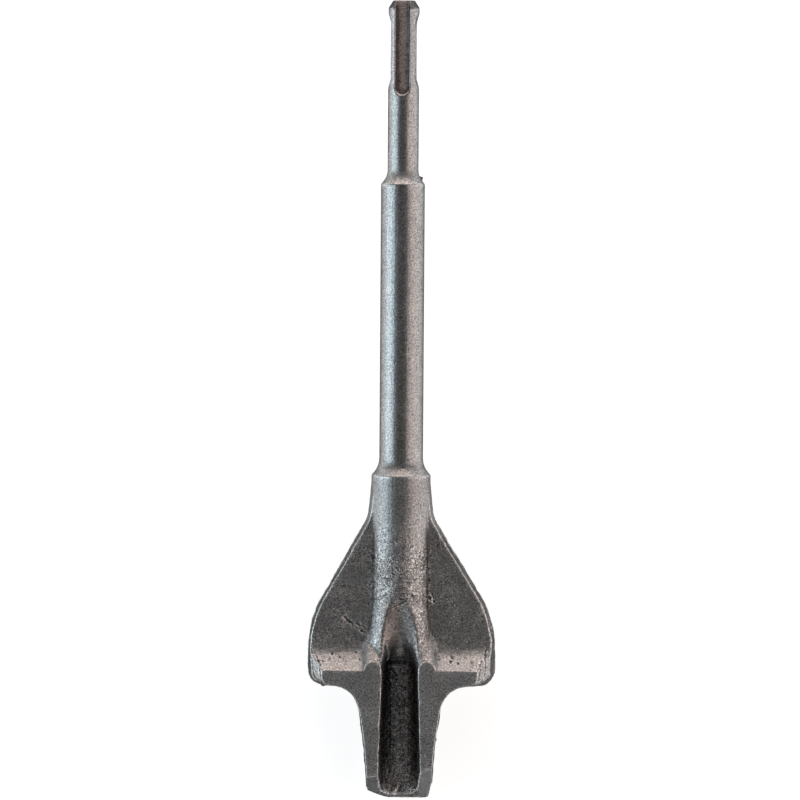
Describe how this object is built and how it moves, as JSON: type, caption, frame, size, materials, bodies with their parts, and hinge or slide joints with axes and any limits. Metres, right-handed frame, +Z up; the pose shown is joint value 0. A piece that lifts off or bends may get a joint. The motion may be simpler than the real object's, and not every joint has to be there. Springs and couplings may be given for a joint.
{
  "type": "winged channel chisel",
  "caption": "Forged channel chisel for a rotary hammer, with a slotted round shank, a collar, swept guide wings and a gouge-shaped tip.",
  "frame": {"origin": "under the middle of the bounding box, on the surface that the tool lies on", "axes": "+Y along the tool towards the end of the shank, +Z up out of the open side of the gouge"},
  "size_m": [0.061, 0.26, 0.0196],
  "materials": {
    "forged_steel": "hot-forged and shot-blasted, with a dull grey grain"
  },
  "bodies": {
    "root": {"channel_chisel": "forged_steel"}
  },
  "joints": []
}
